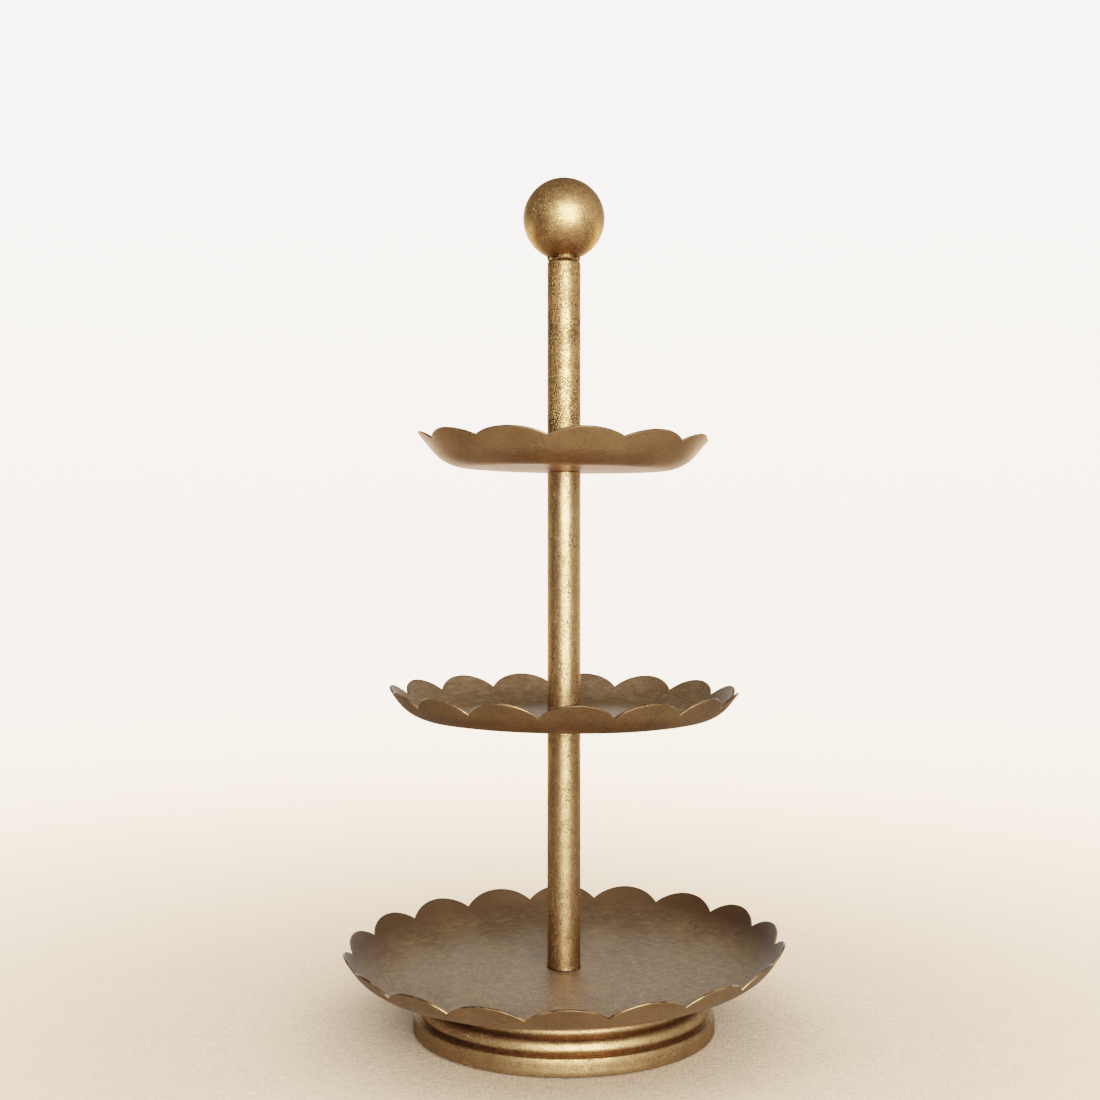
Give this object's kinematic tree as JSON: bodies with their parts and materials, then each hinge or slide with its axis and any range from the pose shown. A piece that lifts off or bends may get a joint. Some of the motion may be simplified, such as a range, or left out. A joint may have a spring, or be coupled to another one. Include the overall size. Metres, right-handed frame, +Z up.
{
  "type": "tiered cake stand",
  "caption": "Tiered cake stand with round scalloped metal trays that grow smaller upwards on a tube stem, a moulded round foot and a ball on top, for serving cakes and pastries.",
  "frame": {"origin": "on the stem's axis, at the surface that the stand rests on", "axes": "+Z up along the stem, -Y towards the front"},
  "size_m": [0.2502, 0.253, 0.4876],
  "materials": {
    "antique_gold_paint": "satin antique gold paint over a lightly pitted, hammered surface",
    "foot_paint": "satin antique gold paint with a fine grain",
    "brushed_gold_paint": "brown-gold lacquer, hand-brushed, rubbed bright along the scalloped edge",
    "plated_steel": "zinc plated",
    "felt": "thin dark felt"
  },
  "bodies": {
    "base": {"foot": "foot_paint", "foot_pad_1": "felt", "foot_pad_2": "felt", "foot_pad_3": "felt", "foot_pad_4": "felt", "base_washer": "plated_steel", "base_spring_washer": "plated_steel", "base_bolt": "plated_steel", "lower_tube": "antique_gold_paint", "lower_tube_bottom_plug": "plated_steel", "lower_tube_top_plug": "plated_steel", "lower_stud": "plated_steel"},
    "bottom_tray": {"bottom_tray": "brushed_gold_paint"},
    "middle_tray": {"middle_tray": "brushed_gold_paint"},
    "middle_washer": {"middle_washer": "plated_steel"},
    "middle_stem": {"middle_tube": "antique_gold_paint", "middle_tube_bottom_plug": "plated_steel", "middle_tube_top_plug": "plated_steel", "upper_stud": "plated_steel"},
    "top_tray": {"top_tray": "brushed_gold_paint"},
    "upper_washer": {"upper_washer": "plated_steel"},
    "handle": {"handle_tube": "antique_gold_paint", "handle_plug": "plated_steel", "weld_bead": "antique_gold_paint", "ball_finial": "antique_gold_paint"}
  },
  "joints": [
    {"name": "bottom_tray_turn", "type": "hinge", "parent": "base", "child": "bottom_tray", "pos_m": [0, 0, 0.0344], "axis": [0, 0, 1], "continuous": true},
    {"name": "middle_tray_turn", "type": "hinge", "parent": "base", "child": "middle_tray", "pos_m": [0, 0, 0.1796], "axis": [0, 0, 1], "continuous": true},
    {"name": "middle_stem_turn", "type": "hinge", "parent": "base", "child": "middle_washer", "pos_m": [0, 0, 0.18], "axis": [0, 0, 1], "range_deg": [0, 2881]},
    {"name": "middle_stem_lift", "type": "slide", "parent": "middle_washer", "child": "middle_stem", "axis": [0, 0, 1], "range_m": [0, 0.01]},
    {"name": "top_tray_turn", "type": "hinge", "parent": "middle_stem", "child": "top_tray", "pos_m": [0, 0, 0.3211], "axis": [0, 0, 1], "continuous": true},
    {"name": "handle_turn", "type": "hinge", "parent": "middle_stem", "child": "upper_washer", "pos_m": [0, 0, 0.3215], "axis": [0, 0, 1], "range_deg": [0, 2881]},
    {"name": "handle_lift", "type": "slide", "parent": "upper_washer", "child": "handle", "axis": [0, 0, 1], "range_m": [0, 0.01]}
  ],
  "couplings": [
    {"joint": "middle_stem_turn", "follows": "middle_stem_lift", "rad_per_m": 5026.5},
    {"joint": "handle_turn", "follows": "handle_lift", "rad_per_m": 5026.5}
  ]
}
